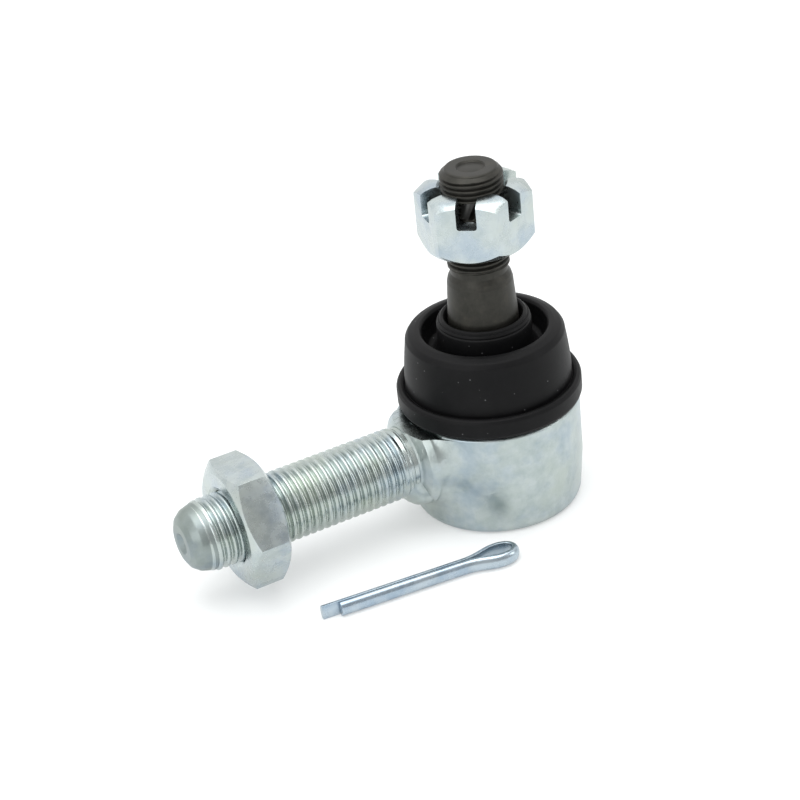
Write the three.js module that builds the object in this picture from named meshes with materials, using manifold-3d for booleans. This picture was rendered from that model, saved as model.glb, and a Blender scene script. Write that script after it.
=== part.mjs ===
// Outer tie rod end with a ball stud, dust boot, castle nut, jam nut and a loose cotter pin.
// Millimetres, +Z up along the stud, +X along the threaded shank, z = 0 on the base of the housing.
import * as THREE from "three";
import { mergeVertices } from "three/addons/utils/BufferGeometryUtils.js";
import Module from "manifold-3d";

// Ball joint
const ballRadius = 10;
const ballFlatDepth = 9;
const jointHeight = 14.3;
const seatClearance = 0.15;

// Housing can
const canRadius = 17.1;
const canBaseRadius = 16.4;
const canTopHeight = 21.5;
const boreRadius = 12.8;
const neckRadius = 14.9;
const neckTopHeight = 24.9;
const mouthRadius = 11.6;
const throatRadius = 8.8;
const throatHeight = 19.9;
const lipRadius = 12.3;
const lipHeight = 1.2;
const plateRadius = 13.6;
const plateThickness = 2.0;

// Threaded shank, M14 x 1.5
const shankRadius = 6.9;
const shankThreadStart = 22.0;
const shankThreadEnd = 61.8;
const shankTip = 66.5;
const bossRadius = 9.6;
const bossTop = 21.0;
const bossReach = 19.9;
const neckOfShankRadius = 6.75;

// Stud, 1:8 taper with an M12 x 1 end
const studNeckRadius = 5.2;
const taperLargeRadius = 7.15;
const taperSmallRadius = 6.2;
const taperBottom = 31.4;
const taperTop = 46.7;
const studThreadRadius = 5.85;
const studThreadBottom = 50.3;
const studTop = 69.4;
const pinHoleRadius = 1.75;
const pinHoleHeight = 62.8;

// Castle nut, 19 across flats
const castleAcrossFlats = 19;
const castleBottom = 54;
const castleHeight = 12;
const slotWidth = 3.7;
const slotBottom = 61;
const castleTurn = THREE.MathUtils.degToRad(21.5);

// Jam nut, 22 across flats
const jamAcrossFlats = 22;
const jamStart = 49.3;
const jamThickness = 8;
const jamTurn = THREE.MathUtils.degToRad(3.5);

// Dust boot
const flangeRadius = 17.75;
const flangeBottom = 21.85;
const wallBottom = 26.0;
const foldBottom = 34.5;
const rimRadius = 15.15;
const rimHeight = 36.85;
const collarRadius = 9.0;
const collarTop = 39.5;

// Cotter pin, 3.2 x 40, lying on the floor
const wireRadius = 1.45;
const eyeWidth = 5.8;
const pinEyeX = 9.6;
const pinLineY = 22.1;
const shortLeg = 35.7;
const longLeg = 39;
const pinTurn = THREE.MathUtils.degToRad(-5.6);

const wasm = await Module();
wasm.setup();

const zincPlate = { color: 0xb9c2c4, roughness: 0.34, metalness: 0.9 };
const darkSteel = { color: 0x4a4844, roughness: 0.45, metalness: 0.85 };
const rubber = { color: 0x1f1f20, roughness: 0.62, metalness: 0 };
const seatPlastic = { color: 0xe6e2d6, roughness: 0.5, metalness: 0 };
const springSteel = { color: 0x6b6d70, roughness: 0.4, metalness: 0.9 };

const tieRodEnd = new THREE.Group();
tieRodEnd.name = "tie_rod_end";

function addPart(name, geometry, finish) {
  const mesh = new THREE.Mesh(geometry, new THREE.MeshStandardMaterial(finish));
  mesh.name = name;
  tieRodEnd.add(mesh);
  return mesh;
}

// Turned shape about +Z from [radius, height] pairs.
function turned(profile, segments) {
  const points = profile.map(([r, z]) => new THREE.Vector2(r, z));
  const geometry = new THREE.LatheGeometry(points, segments);
  geometry.rotateX(Math.PI / 2);
  return geometry;
}

// Turned ring: the profile closes on itself.
function turnedRing(profile, segments) {
  return turned([...profile, profile[0]], segments);
}

// Turned shape about +X at the shank's height from [x, radius] pairs.
function turnedAlongShank(profile, segments) {
  const points = profile.map(([x, r]) => new THREE.Vector2(r, x));
  const geometry = new THREE.LatheGeometry(points, segments);
  geometry.rotateZ(-Math.PI / 2);
  geometry.translate(0, 0, jointHeight);
  return geometry;
}

function toSolid(geometry) {
  const plain = geometry.index ? geometry.clone() : geometry;
  plain.deleteAttribute("normal");
  plain.deleteAttribute("uv");
  const merged = mergeVertices(plain, 1e-4);
  const corners = merged.index.array;
  const kept = [];
  for (let i = 0; i < corners.length; i += 3) {
    const [a, b, c] = [corners[i], corners[i + 1], corners[i + 2]];
    if (a !== b && b !== c && c !== a) kept.push(a, b, c);
  }
  const mesh = new wasm.Mesh({
    numProp: 3,
    vertProperties: new Float32Array(merged.attributes.position.array),
    triVerts: new Uint32Array(kept),
  });
  const solid = new wasm.Manifold(mesh);
  if (solid.volume() >= 0) return solid;
  for (let i = 0; i < kept.length; i += 3) [kept[i], kept[i + 1]] = [kept[i + 1], kept[i]];
  return new wasm.Manifold(new wasm.Mesh({
    numProp: 3,
    vertProperties: new Float32Array(merged.attributes.position.array),
    triVerts: new Uint32Array(kept),
  }));
}

function toGeometry(solid) {
  const mesh = solid.getMesh();
  const geometry = new THREE.BufferGeometry();
  geometry.setAttribute("position", new THREE.BufferAttribute(new Float32Array(mesh.vertProperties), 3));
  geometry.setIndex(new THREE.BufferAttribute(new Uint32Array(mesh.triVerts), 1));
  geometry.computeVertexNormals();
  return geometry;
}

// Points of a sphere's outline about the joint centre, as [radius, height] pairs.
function sphereOutline(radius, fromHeight, toHeight, steps) {
  const start = Math.asin((fromHeight - jointHeight) / radius);
  const end = Math.asin((toHeight - jointHeight) / radius);
  const points = [];
  for (let i = 0; i <= steps; i += 1) {
    const angle = start + ((end - start) * i) / steps;
    points.push([radius * Math.cos(angle), jointHeight + radius * Math.sin(angle)]);
  }
  return points;
}

// Hexagonal prism about +Z with two corners turned by the given angle from +X.
function hexPrism(acrossFlats, bottom, height, turn) {
  const cornerRadius = acrossFlats / Math.sqrt(3);
  const outline = new THREE.Shape();
  for (let i = 0; i < 6; i += 1) {
    const angle = turn + (i * Math.PI) / 3;
    const x = cornerRadius * Math.cos(angle);
    const y = cornerRadius * Math.sin(angle);
    if (i === 0) outline.moveTo(x, y);
    else outline.lineTo(x, y);
  }
  const geometry = new THREE.ExtrudeGeometry(outline, { depth: height, bevelEnabled: false });
  geometry.translate(0, 0, bottom);
  return geometry;
}

// Housing: the forged can and shank in one piece.
const canOuter = turned([
  [0, 0],
  [canBaseRadius - 1.2, 0],
  [canBaseRadius - 0.4, 0.35],
  [canBaseRadius, 1.3],
  [canRadius, 9],
  [canRadius, canTopHeight - 0.5],
  [canRadius - 0.4, canTopHeight],
  [neckRadius, canTopHeight],
  [neckRadius, neckTopHeight],
  [0, neckTopHeight],
], 60);
const shankOuter = turnedAlongShank([
  [12, 0],
  [12, neckOfShankRadius],
  [shankThreadStart - 0.4, neckOfShankRadius],
  [shankThreadStart, shankRadius],
  [shankThreadEnd, shankRadius],
  [64.6, 5.9],
  [65.9, 4.9],
  [shankTip, 3.7],
  [shankTip, 1.5],
  [shankTip - 1.4, 0],
], 40);
const boss = toSolid(turnedAlongShank([
  [8, 0],
  [8, bossRadius],
  [bossReach - 2.4, bossRadius],
  [bossReach - 1.2, 8.8],
  [bossReach - 0.6, 7.7],
  [bossReach, neckOfShankRadius],
  [bossReach, 0],
], 48));
const bossTrim = new THREE.BoxGeometry(40, 40, 10);
bossTrim.translate(0, 0, bossTop + 5);
const cavity = turned([
  [0, -1],
  [lipRadius, -1],
  [lipRadius, lipHeight],
  [plateRadius, lipHeight],
  [plateRadius, lipHeight + plateThickness + 0.05],
  [boreRadius, lipHeight + plateThickness + 0.05],
  [boreRadius, throatHeight],
  [throatRadius, throatHeight],
  [throatRadius, throatHeight + 0.7],
  [mouthRadius, neckTopHeight + 0.001],
  [mouthRadius, neckTopHeight + 1],
  [0, neckTopHeight + 1],
], 60);
const housing = toSolid(canOuter)
  .add(boss.subtract(toSolid(bossTrim)))
  .add(toSolid(shankOuter))
  .subtract(toSolid(cavity));
addPart("housing", toGeometry(housing), zincPlate);

// Ball stud: ball, waist, taper and threaded end with the cotter hole.
const studBody = turned([
  [0, jointHeight - ballFlatDepth],
  ...sphereOutline(ballRadius, jointHeight - ballFlatDepth, 22.84, 12),
  [studNeckRadius, 23.6],
  [studNeckRadius, 28.4],
  [5.8, 29.6],
  [6.9, 30.8],
  [taperLargeRadius, taperBottom],
  [taperSmallRadius, taperTop],
  [taperSmallRadius - 0.2, 47.5],
  [5.4, 48.7],
  [5.4, studThreadBottom - 0.5],
  [studThreadRadius, studThreadBottom],
  [studThreadRadius, 67.6],
  [4.7, studTop - 0.1],
  [4.4, studTop],
  [2.45, studTop],
  [1.9, studTop - 0.8],
  [0, studTop - 0.8],
], 40);
const pinHole = new THREE.CylinderGeometry(pinHoleRadius, pinHoleRadius, 20, 20);
pinHole.rotateZ(Math.PI / 2);
pinHole.rotateZ(castleTurn + Math.PI / 6);
pinHole.translate(0, 0, pinHoleHeight);
addPart("ball_stud", toGeometry(toSolid(studBody).subtract(toSolid(pinHole))), darkSteel);

// Upper and lower ball seats.
const seatRadius = ballRadius + seatClearance;
addPart("upper_seat", turnedRing([
  [boreRadius - 0.05, 12.5],
  [boreRadius - 0.05, throatHeight - 0.1],
  ...sphereOutline(seatRadius, throatHeight - 0.15, 12.5, 6),
], 40), seatPlastic);
addPart("lower_seat", turnedRing([
  [4.6, 4.55],
  [boreRadius - 0.05, 4.55],
  [boreRadius - 0.05, 12.4],
  ...sphereOutline(seatRadius, 12.4, 5.45, 6),
], 40), seatPlastic);

// Dished spring and stepped closing plate, held in the base by the rolled lip.
addPart("preload_spring", turnedRing([
  [12.4, 3.3],
  [12.5, 3.8],
  [5.7, 4.5],
  [5.6, 3.98],
], 40), springSteel);
addPart("closing_plate", turned([
  [0, 0],
  [lipRadius - 0.7, 0],
  [lipRadius - 0.3, 0.4],
  [lipRadius - 0.3, lipHeight + 0.05],
  [plateRadius - 0.05, lipHeight + 0.05],
  [plateRadius - 0.05, lipHeight + plateThickness],
  [0, lipHeight + plateThickness],
], 40), zincPlate);

// Dust boot: press ring on the housing neck, then the rubber in three zones that move differently.
addPart("boot_press_ring", turnedRing([
  [neckRadius + 0.05, 22.0],
  [15.9, 22.0],
  [15.9, 25.1],
  [neckRadius + 0.05, 25.1],
], 48), springSteel);
addPart("boot_base", turnedRing([
  [15.95, flangeBottom + 0.1],
  [17.3, flangeBottom],
  [17.65, 22.3],
  [flangeRadius, 24.2],
  [17.4, 24.8],
  [16.6, 25.1],
  [16.1, 25.5],
  [15.95, wallBottom - 0.05],
  [14.2, wallBottom - 0.05],
  [14.2, 25.2],
  [15.95, 25.2],
], 48), rubber);
addPart("boot_wall", turnedRing([
  [15.95, wallBottom],
  [15.95, 28.2],
  [15.65, 31.8],
  [rimRadius + 0.1, foldBottom - 0.05],
  [13.6, foldBottom - 0.05],
  [13.9, 31.5],
  [14.2, wallBottom],
], 48), rubber);
addPart("boot_fold", turnedRing([
  [rimRadius + 0.1, foldBottom],
  [rimRadius, 35.3],
  [14.6, 36.1],
  [13.3, 36.7],
  [12.5, rimHeight],
  [12.0, 36.5],
  [11.7, 34.6],
  [11.2, 32.9],
  [10.3, 32.1],
  [9.5, 32.5],
  [9.1, 33.8],
  [collarRadius, 38.9],
  [8.6, collarTop],
  [7.8, collarTop],
  [7.2, 38.7],
  [6.85, 37.4],
  [7.2, 31.9],
  [7.6, 30.7],
  [8.6, 30.2],
  [10.6, 30.3],
  [12.4, 31.6],
  [13.3, 33.2],
  [13.6, foldBottom],
], 48), rubber);

// Castle nut: chamfered hexagon with six slots over the flats.
const castleTop = castleBottom + castleHeight;
const castleCorner = castleAcrossFlats / Math.sqrt(3);
const castleFlat = castleAcrossFlats / 2;
const castleEnvelope = turned([
  [0, castleBottom],
  [castleFlat - 0.5, castleBottom],
  [castleCorner + 0.2, castleBottom + 1.6],
  [castleCorner + 0.2, castleTop - 2.3],
  [castleFlat, castleTop - 1.0],
  [castleFlat - 1.4, castleTop - 0.1],
  [castleFlat - 2.2, castleTop],
  [0, castleTop],
], 48);
let castleNut = toSolid(hexPrism(castleAcrossFlats, castleBottom, castleHeight, castleTurn))
  .intersect(toSolid(castleEnvelope))
  .subtract(toSolid(turned([
    [0, castleBottom - 1],
    [7, castleBottom - 1],
    [studThreadRadius + 0.05, castleBottom + 0.6],
    [studThreadRadius + 0.05, castleTop - 0.6],
    [7, castleTop + 1],
    [0, castleTop + 1],
  ], 36)));
for (let i = 0; i < 3; i += 1) {
  const slot = new THREE.BoxGeometry(30, slotWidth, 20);
  slot.translate(0, 0, slotBottom + 10);
  slot.rotateZ(castleTurn + Math.PI / 6 + (i * Math.PI) / 3);
  castleNut = castleNut.subtract(toSolid(slot));
}
addPart("castle_nut", toGeometry(castleNut), zincPlate);

// Jam nut: hexagon chamfered on both faces.
const jamCorner = jamAcrossFlats / Math.sqrt(3);
const jamFlat = jamAcrossFlats / 2;
const jamEnd = jamStart + jamThickness;
const jamPrism = hexPrism(jamAcrossFlats, jamStart, jamThickness, jamTurn + Math.PI / 6);
jamPrism.rotateY(Math.PI / 2);
jamPrism.translate(0, 0, jointHeight);
const jamNut = toSolid(jamPrism)
  .intersect(toSolid(turnedAlongShank([
    [jamStart, 0],
    [jamStart, jamFlat - 0.4],
    [jamStart + 1.2, jamCorner + 0.1],
    [jamEnd - 1.2, jamCorner + 0.1],
    [jamEnd, jamFlat - 0.4],
    [jamEnd, 0],
  ], 48)))
  .subtract(toSolid(turnedAlongShank([
    [jamStart - 1, 0],
    [jamStart - 1, 8.6],
    [jamStart + 0.65, shankRadius + 0.05],
    [jamEnd - 0.65, shankRadius + 0.05],
    [jamEnd + 1, 8.6],
    [jamEnd + 1, 0],
  ], 36)));
addPart("jam_nut", toGeometry(jamNut), zincPlate);

// Cotter pin: half-round wire folded at the eye, its two flats facing each other.
class PinPath extends THREE.Curve {
  constructor(points) {
    super();
    this.line = new THREE.CatmullRomCurve3(points, false, "centripetal");
  }

  getPoint(t, target = new THREE.Vector3()) {
    return this.line.getPoint(t, target);
  }
}
const eyeReach = eyeWidth / 2 - wireRadius;
const eyeCentre = 3.1;
const legGap = 0.1;
const pinPoints = [
  [shortLeg, legGap],
  [28, legGap],
  [18, legGap],
  [10.4, legGap],
  [7.6, 0.45],
  [5.4, 1.15],
  [eyeCentre, eyeReach + 0.1],
  [1.2, 0.95],
  [0.55, 0],
  [1.2, -0.95],
  [eyeCentre, -eyeReach - 0.1],
  [5.4, -1.15],
  [7.6, -0.45],
  [10.4, -legGap],
  [18, -legGap],
  [28, -legGap],
  [longLeg, -legGap],
].map(([x, y]) => new THREE.Vector3(x, y, 0));
const wireSection = new THREE.Shape();
wireSection.moveTo(-wireRadius, 0);
for (let i = 1; i <= 8; i += 1) {
  const angle = Math.PI + (i * Math.PI) / 8;
  wireSection.lineTo(wireRadius * Math.cos(angle), wireRadius * Math.sin(angle));
}
const pinGeometry = new THREE.ExtrudeGeometry(wireSection, {
  steps: 48,
  bevelEnabled: false,
  extrudePath: new PinPath(pinPoints),
});
const cotterPin = addPart("cotter_pin", toGeometry(toSolid(pinGeometry)), zincPlate);
cotterPin.position.set(pinEyeX, pinLineY, wireRadius + 0.02);
cotterPin.rotation.z = pinTurn;

export default tieRodEnd;
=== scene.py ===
import math

import bpy
from mathutils import Matrix, Vector


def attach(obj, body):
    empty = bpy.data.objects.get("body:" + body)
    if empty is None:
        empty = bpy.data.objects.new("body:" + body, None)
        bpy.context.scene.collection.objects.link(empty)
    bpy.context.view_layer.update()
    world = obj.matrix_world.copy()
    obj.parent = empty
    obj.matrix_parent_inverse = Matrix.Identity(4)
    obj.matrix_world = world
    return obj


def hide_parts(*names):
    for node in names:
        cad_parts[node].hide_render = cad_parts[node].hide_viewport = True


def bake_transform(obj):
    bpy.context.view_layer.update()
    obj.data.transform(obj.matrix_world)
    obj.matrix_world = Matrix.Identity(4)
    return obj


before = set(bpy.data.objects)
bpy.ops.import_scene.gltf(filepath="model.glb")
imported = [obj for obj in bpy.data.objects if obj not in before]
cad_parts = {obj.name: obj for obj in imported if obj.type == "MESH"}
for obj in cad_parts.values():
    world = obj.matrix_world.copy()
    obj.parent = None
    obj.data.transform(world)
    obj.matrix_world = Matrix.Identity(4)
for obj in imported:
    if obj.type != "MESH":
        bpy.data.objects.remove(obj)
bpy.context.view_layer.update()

MM = 0.001

# ---------------------------------------------------------------- sizes, in millimetres

JOINT_HEIGHT = 14.3          # ball centre and shank axis above the base
SHANK_CREST, SHANK_ROOT, SHANK_PITCH = 6.9, 6.25, 1.5
STUD_CREST, STUD_ROOT, STUD_PITCH = 5.85, 5.24, 1.0
PIN_HOLE_RADIUS, PIN_HOLE_HEIGHT = 1.75, 62.8
CASTLE_FLATS, CASTLE_BOTTOM, CASTLE_TOP = 19.0, 54.0, 66.0
CASTLE_TURN = math.radians(21.5)
SLOT_WIDTH, SLOT_BOTTOM = 3.7, 61.0
JAM_FLATS, JAM_START, JAM_END = 22.0, 49.3, 57.3
JAM_TURN = math.radians(3.5)
WIRE_RADIUS = 1.45
# The flat tops of the can, collar and web stand 0.01 mm apart, so that no two share a plane.
CAN_FLAT, COLLAR_FLAT, WEB_FLAT = 20.96, 20.97, 20.98


# ---------------------------------------------------------------- making shapes

def clear_selection():
    if bpy.context.object and bpy.context.object.mode != "OBJECT":
        bpy.ops.object.mode_set(mode="OBJECT")
    bpy.ops.object.select_all(action="DESELECT")


def take(obj):
    clear_selection()
    obj.select_set(True)
    bpy.context.view_layer.objects.active = obj
    return obj


def settle(obj):
    """Places the object's shift, turn and size in its mesh, so that it sits at the origin."""
    take(obj)
    bpy.ops.object.transform_apply(location=True, rotation=True, scale=True)
    return obj


def tidy_mesh(obj, merge=0.002):
    take(obj)
    bpy.ops.object.mode_set(mode="EDIT")
    bpy.ops.mesh.select_all(action="SELECT")
    bpy.ops.mesh.remove_doubles(threshold=merge * MM)
    bpy.ops.mesh.normals_make_consistent(inside=False)
    bpy.ops.object.mode_set(mode="OBJECT")
    return obj


def smooth(obj, angle=32):
    take(obj)
    bpy.ops.object.shade_smooth_by_angle(angle=math.radians(angle))
    return obj


def modify(obj, kind, **settings):
    take(obj)
    modifier = obj.modifiers.new(kind.title(), kind)
    for key, value in settings.items():
        setattr(modifier, key, value)
    bpy.ops.object.modifier_apply(modifier=modifier.name)
    return obj


def cut(obj, cutter, operation="DIFFERENCE"):
    modify(obj, "BOOLEAN", object=cutter, operation=operation, solver="EXACT")
    bpy.data.objects.remove(cutter, do_unlink=True)
    return obj


def soften_edges(obj, width, angle=28, segments=2):
    return modify(obj, "BEVEL", width=width * MM, segments=segments, limit_method="ANGLE",
                  angle_limit=math.radians(angle), harden_normals=False)


def rounded(points, steps=5):
    """A profile of (radius, height[, rounding]) with each marked corner turned into an arc."""
    out = []
    count = len(points)
    for i, point in enumerate(points):
        rounding = point[2] if len(point) > 2 else 0
        here = Vector(point[:2])
        if not rounding or i in (0, count - 1):
            out.append(tuple(here))
            continue
        before = Vector(points[i - 1][:2]) - here
        after = Vector(points[i + 1][:2]) - here
        half = before.angle(after) / 2
        back = min(rounding / math.tan(half), before.length * 0.49, after.length * 0.49)
        first = here + before.normalized() * back
        last = here + after.normalized() * back
        for k in range(steps + 1):
            t = k / steps
            out.append(tuple(first * (1 - t) ** 2 + here * 2 * t * (1 - t) + last * t ** 2))
    return out


def turned(name, profile, segments=96, ring=False, smooth_angle=32):
    """Turns a profile of (radius, height) pairs about +Z by extruding a ring of edges."""
    clear_selection()
    bpy.ops.mesh.primitive_circle_add(vertices=segments, radius=profile[0][0] * MM,
                                      location=(0, 0, profile[0][1] * MM), fill_type="NOTHING")
    obj = bpy.context.object
    obj.name = name
    bpy.ops.object.mode_set(mode="EDIT")
    for (r0, z0), (r1, z1) in zip(profile, profile[1:]):
        bpy.ops.mesh.extrude_edges_move(TRANSFORM_OT_translate={"value": (0, 0, (z1 - z0) * MM)})
        bpy.ops.transform.resize(value=(r1 / r0, r1 / r0, 1), center_override=(0, 0, z1 * MM))
    bpy.ops.mesh.select_all(action="DESELECT")
    bpy.ops.mesh.select_mode(type="EDGE")
    bpy.ops.mesh.select_non_manifold(extend=False)
    if ring:
        bpy.ops.mesh.bridge_edge_loops()
    else:
        bpy.ops.mesh.fill_holes(sides=0)
    bpy.ops.mesh.select_mode(type="VERT")
    bpy.ops.object.mode_set(mode="OBJECT")
    settle(obj)
    tidy_mesh(obj)
    return smooth(obj, smooth_angle)


def lay_along_shank(obj):
    """Turns a piece made about +Z to lie about +X at the shank's height."""
    obj.rotation_euler = (0, math.pi / 2, 0)
    obj.location = (0, 0, JOINT_HEIGHT * MM)
    return settle(obj)


# One tooth of a rolled thread: (share of the pitch, depth from crest 0 to root 1).
TOOTH = [(0.0, 1.0), (0.06, 0.96), (0.13, 0.8), (0.27, 0.28), (0.33, 0.08), (0.4, 0.0),
         (0.6, 0.0), (0.67, 0.08), (0.73, 0.28), (0.87, 0.8), (0.94, 0.96)]


def threaded(name, start, end, pitch, crest, root, start_radius, end_radius, end_taper, runout=1.5,
             segments=72):
    """A screw thread about +Z: a grid wrapped round the rod with its rows along the helix."""
    turns = math.ceil((end - start) / pitch) + 2
    rows = turns * len(TOOTH) + 1
    clear_selection()
    bpy.ops.mesh.primitive_grid_add(x_subdivisions=segments, y_subdivisions=rows - 1, size=2)
    obj = bpy.context.object
    obj.name = name
    for vertex in obj.data.vertices:
        column = round((vertex.co.x + 1) / 2 * segments)
        row = round((vertex.co.y + 1) / 2 * (rows - 1))
        share, depth = TOOTH[row % len(TOOTH)]
        height = start + pitch * (row // len(TOOTH) - 1 + share + column / segments)
        fade = min(1.0, max(0.0, (height - start) / (runout * pitch)))
        radius = crest - (crest - root) * depth * fade
        if height <= start:
            height, radius = start, start_radius
        elif height >= end:
            height, radius = end, end_radius
        else:
            radius = min(radius, end_radius + (end - height) * (crest - end_radius) / end_taper)
        angle = 2 * math.pi * column / segments
        vertex.co = (radius * MM * math.cos(angle), radius * MM * math.sin(angle), height * MM)
    tidy_mesh(obj, 0.0005)
    bpy.ops.object.mode_set(mode="EDIT")
    bpy.ops.mesh.select_all(action="SELECT")
    bpy.ops.mesh.dissolve_degenerate(threshold=0.0001 * MM)
    bpy.ops.mesh.select_all(action="DESELECT")
    bpy.ops.mesh.select_mode(type="EDGE")
    bpy.ops.mesh.select_non_manifold(extend=False)
    bpy.ops.mesh.fill_holes(sides=0)
    bpy.ops.mesh.select_mode(type="VERT")
    bpy.ops.mesh.select_all(action="SELECT")
    bpy.ops.mesh.normals_make_consistent(inside=False)
    bpy.ops.object.mode_set(mode="OBJECT")
    return smooth(obj, 50)


def hex_blank(name, across_flats, bottom, top, turn):
    clear_selection()
    corner = across_flats / math.sqrt(3)
    bpy.ops.mesh.primitive_cylinder_add(vertices=6, radius=corner * MM, depth=(top - bottom) * MM,
                                        location=(0, 0, (top + bottom) / 2 * MM),
                                        rotation=(0, 0, turn + math.pi / 6))
    obj = bpy.context.object
    obj.name = name
    return settle(obj)


# ---------------------------------------------------------------- finishes

def linear(hex_code):
    """sRGB hex to linear RGBA."""
    values = [int(hex_code[i:i + 2], 16) / 255 for i in (1, 3, 5)]
    return tuple(v / 12.92 if v <= 0.04045 else ((v + 0.055) / 1.055) ** 2.4 for v in values) + (1.0,)


def node(tree, kind, inputs=None, stops=(), **settings):
    """Adds a node with its settings; each input is a value or another node's socket. Stops are
    (place, hex colour or grey) pairs."""
    made = tree.nodes.new(kind)
    for key, value in settings.items():
        setattr(made, key, value)
    for i, (place, colour) in enumerate(stops):
        if i >= len(made.color_ramp.elements):
            made.color_ramp.elements.new(1.0)
        element = made.color_ramp.elements[i]
        element.position = place
        element.color = linear(colour) if isinstance(colour, str) else (colour, colour, colour, 1)
    for key, value in (inputs or {}).items():
        if isinstance(value, bpy.types.NodeSocket):
            tree.links.new(value, made.inputs[key])
        else:
            made.inputs[key].default_value = value
    return made


def begin_material(name):
    made = bpy.data.materials.new(name)
    made.use_nodes = True
    tree = made.node_tree
    shader = tree.nodes["Principled BSDF"]
    place = node(tree, "ShaderNodeTexCoord").outputs["Object"]
    return made, tree, shader, place


def zinc_plate(name, light, mid, tint, cool, roughness, grain_mm, grain, dents_mm=0.0, dents=0.0,
               marks_mm=0.0, nicks_mm=0.0):
    """Bright zinc plate: bluish silver with faint patches of the passivation's tints, a little
    rougher in the patches, over the grain of the steel beneath."""
    made, tree, shader, place = begin_material(name)
    broad = node(tree, "ShaderNodeTexNoise", {"Vector": place, "Scale": 1000 / 9,
        "Detail": 4, "Roughness": 0.6}).outputs["Fac"]
    patch = node(tree, "ShaderNodeTexNoise", {"Vector": place, "Scale": 1000 / 3.2,
        "Detail": 5, "Roughness": 0.65}).outputs["Fac"]
    fine = node(tree, "ShaderNodeTexNoise", {"Vector": place, "Scale": 1000 / grain_mm,
        "Detail": 4, "Roughness": 0.6}).outputs["Fac"]
    body = node(tree, "ShaderNodeValToRGB", {"Fac": patch},
        stops=[(0.3, mid), (0.62, light)]).outputs["Color"]
    tinted = node(tree, "ShaderNodeMix", {"Factor": node(tree, "ShaderNodeValToRGB", {"Fac": broad},
        stops=[(0.42, 0.0), (0.66, 0.55)]).outputs["Color"],
                                          "A": body, "B": linear(tint)}, data_type="RGBA")
    cooled = node(tree, "ShaderNodeMix", {"Factor": node(tree, "ShaderNodeValToRGB", {"Fac": broad},
        stops=[(0.34, 0.5), (0.47, 0.0)]).outputs["Color"],
                                          "A": tinted.outputs["Result"], "B": linear(cool)},
                  data_type="RGBA")
    tree.links.new(cooled.outputs["Result"], shader.inputs["Base Color"])
    rough = node(tree, "ShaderNodeMapRange", {"Value": patch, "From Min": 0.25, "From Max": 0.75,
                                              "To Min": roughness - 0.07, "To Max": roughness + 0.1})
    tree.links.new(rough.outputs["Result"], shader.inputs["Roughness"])
    shader.inputs["Metallic"].default_value = 1.0
    bump = node(tree, "ShaderNodeBump", {"Height": fine, "Strength": grain, "Distance": 0.02 * MM})
    if dents:
        wide = node(tree, "ShaderNodeTexNoise", {"Vector": place, "Scale": 1000 / dents_mm,
        "Detail": 2, "Roughness": 0.5}).outputs["Fac"]
        bump = node(tree, "ShaderNodeBump", {"Height": wide, "Strength": dents, "Distance": 0.1 * MM,
                                             "Normal": bump.outputs["Normal"]})
    if marks_mm:
        wander = node(tree, "ShaderNodeTexNoise", {"Vector": place, "Scale": 1000 / marks_mm,
        "Detail": 5, "Roughness": 0.6}).outputs["Fac"]
        lines = node(tree, "ShaderNodeValToRGB", {"Fac": wander},
        stops=[(0.47, 0.0), (0.5, 1.0), (0.52, 0.0), (0.6, 0.0), (0.615, 0.8),
               (0.625, 0.0)]).outputs["Color"]
        bump = node(tree, "ShaderNodeBump", {"Height": lines, "Strength": 0.3, "Distance": 0.06 * MM,
                                             "Normal": bump.outputs["Normal"]})
    if nicks_mm:
        spread = node(tree, "ShaderNodeTexVoronoi", {"Vector": place, "Scale": 1000 / nicks_mm,
                                                     "Randomness": 1.0})
        nicks = node(tree, "ShaderNodeValToRGB", {"Fac": spread.outputs["Distance"]},
        stops=[(0.05, 0.0), (0.11, 1.0)]).outputs["Color"]
        bump = node(tree, "ShaderNodeBump", {"Height": nicks, "Strength": 0.2, "Distance": 0.05 * MM,
                                             "Normal": bump.outputs["Normal"]})
    tree.links.new(bump.outputs["Normal"], shader.inputs["Normal"])
    return made


def phosphated_steel():
    """Phosphated and oiled steel: dark grey-brown crystals with a dull sheen."""
    made, tree, shader, place = begin_material("phosphated_steel")
    patch = node(tree, "ShaderNodeTexNoise", {"Vector": place, "Scale": 1000 / 2.4,
        "Detail": 5, "Roughness": 0.65}).outputs["Fac"]
    fine = node(tree, "ShaderNodeTexNoise", {"Vector": place, "Scale": 1000 / 0.25,
        "Detail": 3, "Roughness": 0.6}).outputs["Fac"]
    shade = node(tree, "ShaderNodeValToRGB", {"Fac": patch},
        stops=[(0.3, "#2F2F2B"), (0.55, "#393834"), (0.75, "#44423C")]).outputs["Color"]
    tree.links.new(shade, shader.inputs["Base Color"])
    shader.inputs["Metallic"].default_value = 0.75
    rough = node(tree, "ShaderNodeMapRange", {"Value": patch, "To Min": 0.34, "To Max": 0.56})
    tree.links.new(rough.outputs["Result"], shader.inputs["Roughness"])
    bump = node(tree, "ShaderNodeBump", {"Height": fine, "Strength": 0.35, "Distance": 0.03 * MM})
    tree.links.new(bump.outputs["Normal"], shader.inputs["Normal"])
    return made


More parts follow.
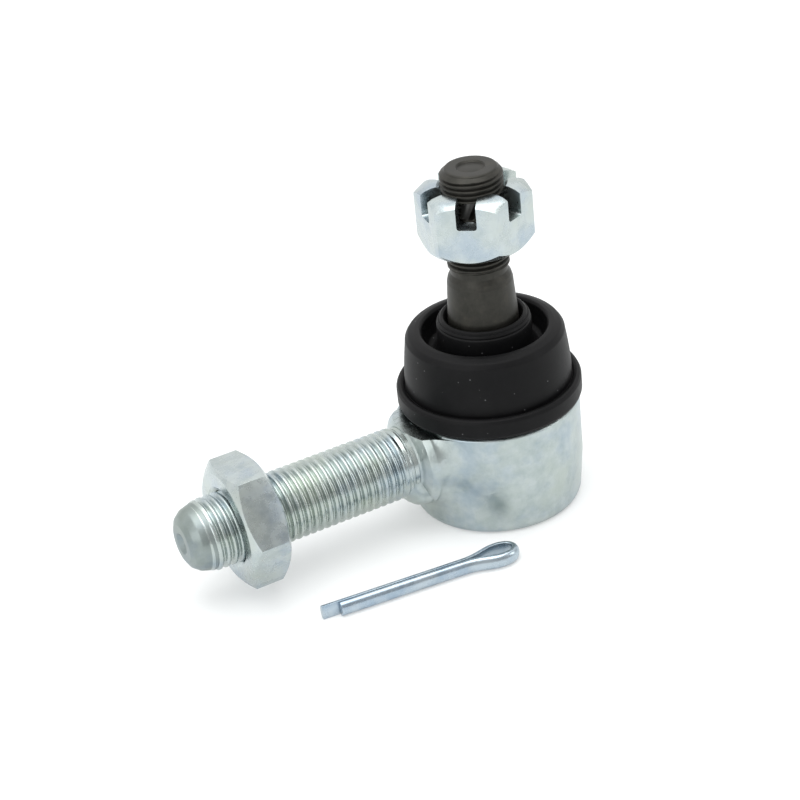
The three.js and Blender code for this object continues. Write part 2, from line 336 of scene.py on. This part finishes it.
def moulded_rubber():
    """Moulded chloroprene rubber: near black, a soft sheen, fine mould grain and a few dust specks."""
    made, tree, shader, place = begin_material("moulded_rubber")
    patch = node(tree, "ShaderNodeTexNoise", {"Vector": place, "Scale": 1000 / 6,
        "Detail": 4, "Roughness": 0.6}).outputs["Fac"]
    fine = node(tree, "ShaderNodeTexNoise", {"Vector": place, "Scale": 1000 / 0.3,
        "Detail": 3, "Roughness": 0.6}).outputs["Fac"]
    shade = node(tree, "ShaderNodeValToRGB", {"Fac": patch},
        stops=[(0.3, "#0C0C0D"), (0.7, "#131314")]).outputs["Color"]
    specks = node(tree, "ShaderNodeTexVoronoi", {"Vector": place, "Scale": 1000 / 2.2,
                                                 "Randomness": 1.0})
    dust = node(tree, "ShaderNodeValToRGB", {"Fac": specks.outputs["Distance"]},
        stops=[(0.045, 0.55), (0.075, 0.0)]).outputs["Color"]
    dusty = node(tree, "ShaderNodeMix", {"Factor": dust, "A": shade, "B": linear("#6E6F70")},
                 data_type="RGBA")
    tree.links.new(dusty.outputs["Result"], shader.inputs["Base Color"])
    rough = node(tree, "ShaderNodeMapRange", {"Value": patch, "To Min": 0.4, "To Max": 0.54})
    tree.links.new(rough.outputs["Result"], shader.inputs["Roughness"])
    shader.inputs["IOR"].default_value = 1.5
    shader.inputs["Specular IOR Level"].default_value = 0.12
    bump = node(tree, "ShaderNodeBump", {"Height": fine, "Strength": 0.25, "Distance": 0.03 * MM})
    tree.links.new(bump.outputs["Normal"], shader.inputs["Normal"])
    return made


def acetal():
    """Natural acetal: creamy white, waxy, with a thin film of grease."""
    made, tree, shader, place = begin_material("acetal")
    patch = node(tree, "ShaderNodeTexNoise", {"Vector": place, "Scale": 1000 / 4,
        "Detail": 3, "Roughness": 0.5}).outputs["Fac"]
    tree.links.new(node(tree, "ShaderNodeValToRGB", {"Fac": patch},
        stops=[(0.3, "#DCD6C6"), (0.7, "#E9E5DA")]).outputs["Color"], shader.inputs["Base Color"])
    shader.inputs["Roughness"].default_value = 0.38
    return made


def spring_steel():
    """Rolled spring steel: plain grey with a faint grain round the ring."""
    made, tree, shader, place = begin_material("spring_steel")
    patch = node(tree, "ShaderNodeTexNoise", {"Vector": place, "Scale": 1000 / 1.6,
        "Detail": 4, "Roughness": 0.6}).outputs["Fac"]
    tree.links.new(node(tree, "ShaderNodeValToRGB", {"Fac": patch},
        stops=[(0.3, "#6C6F72"), (0.7, "#8A8D90")]).outputs["Color"], shader.inputs["Base Color"])
    shader.inputs["Metallic"].default_value = 1.0
    shader.inputs["Roughness"].default_value = 0.36
    return made


# Zinc over a forging: soft broad dents and a few wandering marks break up the reflections.
FORGED_ZINC = zinc_plate("forged_zinc_plate", "#B6BFC0", "#9AA6A8", "#AFB8AF", "#96A6B2", 0.33,
                         0.42, 0.6, 2.6, 0.5, marks_mm=9)
# Zinc over a rolled thread: smooth and bright, so that each crest holds a clean highlight.
THREAD_ZINC = zinc_plate("rolled_thread_zinc_plate", "#B9C2C2", "#9EA9AA", "#B3BBAD", "#98A8B4", 0.24,
                         0.35, 0.25)
# Zinc over a faced surface: nearly free of grain, with sharp reflections.
MACHINED_ZINC = zinc_plate("machined_zinc_plate", "#B4BDBF", "#9CA7AA", "#AFB8AF", "#96A6B2", 0.24,
                           0.5, 0.08)
# Zinc over a turned nose: duller than the thread behind it, and greyer as painted shade: its base colours
# are a darker copy of the thread's zinc.
SHADED_NOSE_ZINC = zinc_plate("turned_nose_zinc_plate_painted_shade", "#929B9B", "#7E8889", "#909A90", "#7B8993", 0.4,
                         0.35, 0.2)
# Zinc over a pressed nut: lighter, with shallow dents and small nicks.
NUT_ZINC = zinc_plate("nut_zinc_plate", "#BBC4C6", "#A3AEB2", "#B8BFB6", "#9DACBA", 0.26,
                      0.5, 0.3, 3.5, 0.22, nicks_mm=2.6)
# Blue passivated zinc on drawn wire: a cooler tint and a fine grain.
WIRE_ZINC = zinc_plate("wire_blue_zinc_plate", "#B6C2CB", "#98A8B6", "#AEBABE", "#8CA2B6", 0.25,
                       0.4, 0.2)
PHOSPHATE = phosphated_steel()
RUBBER = moulded_rubber()
ACETAL = acetal()
SPRING = spring_steel()


def finish_piece(obj, material, body=None):
    obj.data.materials.clear()
    obj.data.materials.append(material)
    if body:
        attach(obj, body)
    return obj


# ---------------------------------------------------------------- housing

def housing_can():
    """The forged can with its rolled base lip, bore and the neck that the boot presses onto."""
    can = turned("housing_can", rounded([
        (12.35, 0.35), (12.75, 0.0, 0.3), (15.2, 0.0, 0.4), (16.0, 0.4, 0.4), (16.42, 1.35, 0.5),
        (17.1, 9.0, 5), (17.1, 21.1, 0.4), (16.7, 21.45, 0.3), (14.95, 21.45), (14.9, 24.5, 0.3),
        (14.5, 24.87, 0.3), (12.0, 24.87, 0.3), (8.85, 20.6, 0.3), (8.85, 19.92), (12.8, 19.92),
        (12.8, 3.3), (13.55, 3.25), (13.55, 1.2), (12.35, 1.2)]), 144, ring=True)
    clear_selection()
    bpy.ops.mesh.primitive_cube_add(size=1, location=(20 * MM, 0, (CAN_FLAT + 2) * MM),
                                    scale=(9.6 * MM, 17.0 * MM, 4 * MM))
    cut(can, settle(bpy.context.object))
    return smooth(can, 32)


def trim_top(obj, height):
    take(obj)
    bpy.ops.object.mode_set(mode="EDIT")
    bpy.ops.mesh.select_all(action="SELECT")
    bpy.ops.mesh.bisect(plane_co=(0, 0, height * MM), plane_no=(0, 0, 1), use_fill=True,
                        clear_outer=True)
    bpy.ops.object.mode_set(mode="OBJECT")
    return obj


def shank_boss():
    """The collar at the root of the shank: its end is turned, its top faced flat."""
    boss = turned("shank_boss", rounded([
        (9.4, 8.0), (9.58, 8.1), (9.6, 17.3, 0.25), (8.9, 18.55, 0.5), (7.7, 19.3, 0.5), (7.05, 19.65, 0.3),
        (6.72, 19.95), (5.5, 20.0)]), 120)
    trim_top(lay_along_shank(boss), COLLAR_FLAT)
    return smooth(boss, 28)


def boss_web():
    """The forged blend between the collar and the can, one level of the outline after another."""
    levels, columns = 24, 40
    clear_selection()
    bpy.ops.mesh.primitive_grid_add(x_subdivisions=columns, y_subdivisions=levels, size=2)
    web = bpy.context.object
    web.name = "boss_web"
    for vertex in web.data.vertices:
        column = round((vertex.co.x + 1) / 2 * columns) % columns
        share = (vertex.co.y + 1) / 2
        height = 5.3 + (WEB_FLAT - 5.3) * share
        width = math.sqrt(9.57 ** 2 - (height - JOINT_HEIGHT) ** 2)
        spread = math.radians(24 + 27 * (width / 9.57) ** 1.5)
        can = 16.42 + 0.66 * min(1.0, (height - 1.35) / 7.65)
        foot = Vector((can * math.cos(spread), can * math.sin(spread)))
        bend = Vector(((can - width * math.sin(spread)) / math.cos(spread), width))
        start = Vector((17.15, width))
        side = 1 if column < columns // 2 else -1
        step = column if side > 0 else columns - 1 - column
        t = min(1.0, step / (columns // 2 - 2))
        point = start * (1 - t) ** 2 + bend * 2 * t * (1 - t) + foot * t ** 2
        if step == columns // 2 - 1:
            point = Vector((9.0, foot.y * 0.8))
        vertex.co = (point.x * MM, side * point.y * MM, height * MM)
    tidy_mesh(web, 0.0005)
    bpy.ops.object.mode_set(mode="EDIT")
    bpy.ops.mesh.select_all(action="DESELECT")
    bpy.ops.mesh.select_mode(type="EDGE")
    bpy.ops.mesh.select_non_manifold(extend=False)
    bpy.ops.mesh.fill_holes(sides=0)
    bpy.ops.mesh.select_mode(type="VERT")
    bpy.ops.mesh.select_all(action="SELECT")
    bpy.ops.mesh.normals_make_consistent(inside=False)
    bpy.ops.object.mode_set(mode="OBJECT")
    return smooth(web, 28)


def shank_flare():
    """The forged flare under the neck, which fades out towards the sides and the top."""
    flare = turned("shank_flare", rounded([
        (5.0, 15.0), (9.3, 15.1), (9.45, 18.4, 0.9), (9.1, 19.9, 0.9), (8.3, 20.9, 0.9), (7.2, 21.8, 0.7),
        (6.6, 22.4), (5.0, 22.4)]), 96)
    lay_along_shank(flare)
    for vertex in flare.data.vertices:
        across, height = vertex.co.y, vertex.co.z - JOINT_HEIGHT * MM
        radius = math.hypot(across, height)
        share = min(1.0, max(0.0, (-height / radius - 0.2) / 0.55))
        share = share * share * (3 - 2 * share)
        wanted = min(radius, (6.6 + (radius / MM - 6.6) * share) * MM)
        vertex.co.y *= wanted / radius
        vertex.co.z = JOINT_HEIGHT * MM + height * wanted / radius
    return smooth(flare, 35)


def shank_neck():
    """The plain neck between the boss and the thread, with the marks where the thread runs out."""
    neck = turned("shank_neck", rounded([
        (5.0, 14.0), (6.65, 14.2), (6.65, 19.7), (6.4, 19.85), (6.4, 20.0), (6.68, 20.1), (6.7, 20.9),
        (6.5, 21.0), (6.5, 21.15), (6.8, 21.3), (6.86, 21.6), (6.2, 22.1), (5.0, 22.2)]), 96)
    return lay_along_shank(neck)


def shank_nose():
    """The plain rounded nose ahead of the thread, with its centre-drill dimple."""
    nose = turned("shank_nose", rounded([
        (6.0, 60.6), (6.55, 61.9), (6.6, 62.3, 0.4), (5.95, 64.5, 1.2), (4.95, 65.8, 0.8),
        (3.7, 66.42, 0.5), (2.15, 66.46, 0.2), (1.5, 65.8, 0.3), (0.25, 64.6)]), 72)
    return lay_along_shank(nose)


can = finish_piece(housing_can(), FORGED_ZINC, "housing")
boss = finish_piece(shank_boss(), FORGED_ZINC, "housing")
web = finish_piece(boss_web(), FORGED_ZINC, "housing")
for piece in (boss, web, can):
    piece.data.materials.append(MACHINED_ZINC)
    for face in piece.data.polygons:
        if face.normal.z > 0.99 and 20.9 * MM < face.center.z < 21.0 * MM:
            face.material_index = 1
flare = finish_piece(shank_flare(), FORGED_ZINC, "housing")
neck = finish_piece(shank_neck(), THREAD_ZINC, "housing")
# The nose's finish holds painted shade: a darker copy of the thread's zinc.
nose = finish_piece(shank_nose(), SHADED_NOSE_ZINC, "housing")
shank = threaded("shank_thread", 21.5, 63.3, SHANK_PITCH, SHANK_CREST, SHANK_ROOT, 6.5, 6.3, 1.7)
finish_piece(lay_along_shank(shank), THREAD_ZINC, "housing")
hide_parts("housing")


# ---------------------------------------------------------------- ball stud

def stud_body():
    """Ball, waist, taper and the groove below the thread."""
    ball = []
    for i in range(17):
        angle = math.radians(-64.2 + i * (64.2 + 58.6) / 16)
        ball.append((10 * math.cos(angle), JOINT_HEIGHT + 10 * math.sin(angle)))
    return turned("stud_body", [(1.0, 5.3)] + ball + rounded([
        (5.2, 22.9), (5.2, 28.2, 2.5), (6.9, 30.8, 0.8), (7.15, 31.5, 0.4), (6.2, 46.6, 0.5),
        (5.95, 47.6, 0.4), (5.42, 48.6, 0.4), (5.42, 50.2), (4.5, 50.6)]), 96)


def stud_end():
    """The threaded end with its dished tip and cross hole."""
    end = threaded("stud_thread", 50.0, 69.05, STUD_PITCH, STUD_CREST, STUD_ROOT, 5.0, 5.0, 0.7, 0.6, 72)
    tip = turned("stud_tip", rounded([
        (3.6, 67.0), (4.9, 68.5, 0.2), (5.02, 69.0, 0.2), (4.8, 69.32, 0.2), (4.5, 69.38, 0.2),
        (2.75, 69.38, 0.15), (2.1, 68.65, 0.3), (0.4, 68.45)]), 72)
    clear_selection()
    bpy.ops.mesh.primitive_cylinder_add(vertices=32, radius=PIN_HOLE_RADIUS * MM, depth=20 * MM,
                                        location=(0, 0, PIN_HOLE_HEIGHT * MM),
                                        rotation=(0, math.pi / 2, CASTLE_TURN + math.pi / 6))
    cut(end, settle(bpy.context.object))
    smooth(end, 50)
    return end, tip


body = finish_piece(stud_body(), PHOSPHATE, "stud")
end, tip = stud_end()
finish_piece(end, PHOSPHATE, "stud")
finish_piece(tip, PHOSPHATE, "stud")
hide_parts("ball_stud")


# ---------------------------------------------------------------- nuts

def castle_nut():
    nut = hex_blank("castle_nut_body", CASTLE_FLATS, CASTLE_BOTTOM, CASTLE_TOP, CASTLE_TURN)
    corner = CASTLE_FLATS / math.sqrt(3)
    flat = CASTLE_FLATS / 2
    envelope = turned("envelope", [
        (1, CASTLE_BOTTOM), (flat - 0.7, CASTLE_BOTTOM), (flat - 0.1, CASTLE_BOTTOM + 0.35),
        (corner + 0.1, CASTLE_BOTTOM + 2.0), (corner + 0.1, CASTLE_TOP - 1.75),
        (flat + 0.2, CASTLE_TOP - 0.8), (flat - 0.8, CASTLE_TOP - 0.3), (flat - 2.2, CASTLE_TOP),
        (1, CASTLE_TOP)], 96)
    cut(nut, envelope, "INTERSECT")
    bore = turned("bore", [
        (7.4, CASTLE_BOTTOM - 1), (5.95, CASTLE_BOTTOM + 0.7), (5.95, CASTLE_TOP - 0.7),
        (7.4, CASTLE_TOP + 1)], 72)
    cut(nut, bore)
    for i in range(3):
        clear_selection()
        turn = CASTLE_TURN + math.pi / 6 + i * math.pi / 3
        bpy.ops.mesh.primitive_cube_add(size=1, location=(0, 0, (SLOT_BOTTOM + 10) * MM),
                                        rotation=(0, 0, turn),
                                        scale=(30 * MM, SLOT_WIDTH * MM, 20 * MM))
        slot_tool = settle(bpy.context.object)
        soften_edges(slot_tool, 0.5, 60, 3)
        cut(nut, slot_tool)
    soften_edges(nut, 0.22, 22, 3)
    return smooth(nut, 30)


def jam_nut():
    nut = hex_blank("jam_nut_body", JAM_FLATS, JAM_START, JAM_END, JAM_TURN + math.pi / 6)
    corner = JAM_FLATS / math.sqrt(3)
    flat = JAM_FLATS / 2
    envelope = turned("envelope", [
        (1, JAM_START), (flat - 0.6, JAM_START), (corner + 0.1, JAM_START + 1.35),
        (corner + 0.1, JAM_END - 1.35), (flat - 0.6, JAM_END), (1, JAM_END)], 96)
    cut(nut, envelope, "INTERSECT")
    bore = turned("bore", [(9.0, JAM_START - 1), (6.95, JAM_START + 0.75), (6.95, JAM_END - 0.75),
                           (9.0, JAM_END + 1)], 72)
    cut(nut, bore)
    lay_along_shank(nut)
    soften_edges(nut, 0.22, 22, 3)
    return smooth(nut, 30)


castle = finish_piece(castle_nut(), NUT_ZINC, "castle_nut")
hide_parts("castle_nut")
jam = finish_piece(jam_nut(), NUT_ZINC, "jam_nut")
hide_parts("jam_nut")


# ---------------------------------------------------------------- dust boot

def boot_flange():
    """The foot of the boot, pressed over the housing's neck."""
    return turned("boot_flange", rounded([
        (16.0, 21.9), (17.5, 21.86, 0.35), (17.74, 22.5, 0.4), (17.74, 25.1, 0.5), (17.45, 25.72, 0.4),
        (16.9, 25.9, 0.3), (16.35, 25.68, 0.3), (16.0, 25.3, 0.25), (15.93, 25.6, 0.1), (15.97, 26.0),
        (14.2, 26.0), (14.2, 25.2), (15.6, 25.0)]), 144, ring=True)


def boot_crown():
    """Rim, rolled-in fold and the ribbed collar that grips the stud."""
    return turned("boot_crown", rounded([
        (15.25, 34.5), (15.15, 35.3, 0.8), (14.5, 36.25, 0.9), (13.2, 36.72, 0.8), (12.35, 36.82, 0.5),
        (11.95, 36.3, 0.5), (11.65, 34.4, 1), (11.1, 32.7, 0.8), (10.2, 32.1, 0.7), (9.4, 32.6, 0.7),
        (9.05, 34.0, 0.5), (8.98, 37.9, 0.2), (8.72, 38.1, 0.12), (8.85, 38.4, 0.15), (8.62, 38.85, 0.2),
        (8.35, 38.8, 0.1), (8.3, 39.2, 0.2), (7.95, 39.48, 0.25), (7.55, 39.3, 0.2), (7.25, 38.7, 0.4),
        (6.9, 37.8, 0.4), (7.1, 33.0), (7.25, 31.6), (7.7, 30.6, 0.4), (9.6, 30.2, 0.6),
        (11.6, 30.9, 0.8), (13.1, 33.0, 0.8), (13.6, 34.5)]), 144, ring=True)


flange = finish_piece(boot_flange(), RUBBER, "housing")
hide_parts("boot_base")
low_skirt = turned("boot_skirt_low", [
    (15.97, 26.0), (15.97, 27.0), (15.95, 28.2), (15.85, 29.4), (15.75, 30.4), (14.0, 30.4), (14.1, 28.2),
    (14.2, 26.0)], 144, ring=True)
finish_piece(low_skirt, RUBBER, None)
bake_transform(low_skirt)
high_skirt = turned("boot_skirt_high", [
    (15.75, 30.4), (15.62, 31.6), (15.47, 32.8), (15.35, 33.7), (15.25, 34.5), (13.6, 34.5), (13.8, 32.5),
    (14.0, 30.4)], 144, ring=True)
finish_piece(high_skirt, RUBBER, None)
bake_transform(high_skirt)
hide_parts("boot_wall")
crown = finish_piece(boot_crown(), RUBBER, "boot_top")
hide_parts("boot_fold")


# ---------------------------------------------------------------- cotter pin

def cotter_pin():
    """Half-round wire folded at the eye; the flats of its legs face each other."""
    gap = 0.08
    route = [(35.7, gap), (28, gap), (18, gap), (10.8, gap), (9.2, 0.18), (7.6, 0.5), (6.0, 1.02),
             (4.6, 1.42), (3.1, 1.55), (1.9, 1.32), (1.0, 0.8), (0.62, 0.0), (1.0, -0.8), (1.9, -1.32),
             (3.1, -1.55), (4.6, -1.42), (6.0, -1.02), (7.6, -0.5), (9.2, -0.18), (10.8, -gap),
             (18, -gap), (28, -gap), (39, -gap)]
    clear_selection()
    bpy.ops.curve.primitive_nurbs_path_add()
    wire = bpy.context.object
    wire.name = "cotter_pin_wire"
    curve = wire.data
    curve.splines.clear()
    spline = curve.splines.new("NURBS")
    spline.points.add(len(route) - 1)
    for point, (x, y) in zip(spline.points, route):
        point.co = (x * MM, y * MM, 0, 1)
    spline.order_u = 3
    spline.use_endpoint_u = True
    spline.resolution_u = 6
    section = bpy.data.objects.new("section", bpy.data.curves.new("section", "CURVE"))
    section.data.dimensions = "2D"
    outline = section.data.splines.new("POLY")
    arc = [(1.3 * math.cos(math.radians(a)) ** 0.72, WIRE_RADIUS * math.sin(math.radians(a)))
           for a in range(-84, 85, 12)]
    points = [(0.0, -WIRE_RADIUS + 0.12), (0.05, -WIRE_RADIUS + 0.03)] + arc + [
        (0.05, WIRE_RADIUS - 0.03), (0.0, WIRE_RADIUS - 0.12)]
    outline.points.add(len(points) - 1)
    for point, (x, y) in zip(outline.points, points):
        point.co = (x * MM, y * MM, 0, 1)
    outline.use_cyclic_u = True
    bpy.context.collection.objects.link(section)
    curve.dimensions = "3D"
    curve.twist_mode = "Z_UP"
    curve.bevel_mode = "OBJECT"
    curve.bevel_object = section
    curve.use_fill_caps = True
    take(wire)
    bpy.ops.object.convert(target="MESH")
    bpy.data.objects.remove(section, do_unlink=True)
    wire.rotation_euler = (0, 0, math.radians(-5.6))
    wire.location = (9.6 * MM, 22.1 * MM, (WIRE_RADIUS + 0.02) * MM)
    settle(wire)
    tidy_mesh(wire, 0.001)
    soften_edges(wire, 0.12, 50, 2)
    return smooth(wire, 35)


pin = finish_piece(cotter_pin(), WIRE_ZINC, "cotter_pin")
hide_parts("cotter_pin")


# ---------------------------------------------------------------- pieces kept from the solids

for name, material in (("upper_seat", ACETAL), ("lower_seat", ACETAL), ("preload_spring", SPRING),
                       ("closing_plate", FORGED_ZINC), ("boot_press_ring", SPRING)):
    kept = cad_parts[name]
    kept.data.materials.clear()
    kept.data.materials.append(material)


# ---------------------------------------------------------------- studio

def studio():
    clear_selection()
    bpy.ops.mesh.primitive_plane_add(size=6, location=(0, 0, -0.00002))
    floor = bpy.context.object
    floor.name = "studio_floor"
    paper, tree, shader, place = begin_material("white_paper")
    shader.inputs["Base Color"].default_value = linear("#CBCDCD")
    shader.inputs["Roughness"].default_value = 0.9
    shader.inputs["Emission Color"].default_value = linear("#FFFFFF")
    shader.inputs["Emission Strength"].default_value = 0.33
    floor.data.materials.append(paper)

    world = bpy.data.worlds.new("soft_studio")
    bpy.context.scene.world = world
    world.use_nodes = True
    tree = world.node_tree
    ray = node(tree, "ShaderNodeTexCoord").outputs["Generated"]
    parts = node(tree, "ShaderNodeSeparateXYZ", {"Vector": ray})
    height = node(tree, "ShaderNodeValToRGB", {"Fac": parts.outputs["Z"]},
        stops=[(0.0, 0.8), (0.15, 0.8), (0.45, 0.85), (0.8, 1.0)]).outputs["Color"]
    side = node(tree, "ShaderNodeMapRange", {"Value": parts.outputs["Y"], "From Min": -0.25,
                                             "From Max": 0.6, "To Min": 1.0, "To Max": 0.5})
    shade = node(tree, "ShaderNodeVectorMath", {0: height, 1: side.outputs["Result"]},
                 operation="MULTIPLY").outputs["Vector"]
    background = tree.nodes["Background"]
    tree.links.new(shade, background.inputs["Color"])
    background.inputs["Strength"].default_value = 1.35

    def softbox(name, place, target, width, height_m, power):
        lamp = bpy.data.lights.new(name, "AREA")
        lamp.shape = "RECTANGLE"
        lamp.size, lamp.size_y, lamp.energy = width, height_m, power
        holder = bpy.data.objects.new(name, lamp)
        bpy.context.collection.objects.link(holder)
        holder.location = place
        holder.rotation_euler = (Vector(target) - Vector(place)).to_track_quat("-Z", "Y").to_euler()

    softbox("top_softbox", (0.05, 0.05, 0.75), (0.02, 0, 0.02), 0.7, 0.7, 3.4)
    softbox("left_softbox", (0.6, 0.35, 0.35), (0.02, 0, 0.03), 0.5, 0.5, 1.3)
    softbox("right_softbox", (-0.6, 0.5, 0.4), (0, 0, 0.03), 0.25, 0.5, 1.0)

    lens = bpy.data.cameras.new("camera")
    lens.sensor_width = 36
    lens.lens = 95.85
    lens.clip_start, lens.clip_end = 0.01, 10
    camera = bpy.data.objects.new("camera", lens)
    bpy.context.collection.objects.link(camera)
    right = Vector((-0.868940, 0.485468, -0.096255))
    up = Vector((-0.318586, -0.399833, 0.859440))
    back = right.cross(up).normalized()
    turn = Matrix((right, back.cross(right), back)).transposed().to_4x4()
    camera.matrix_world = Matrix.Translation((0.170387, 0.310215, 0.227620)) @ turn
    bpy.context.scene.camera = camera
    bpy.context.scene.view_settings.view_transform = "Standard"


studio()
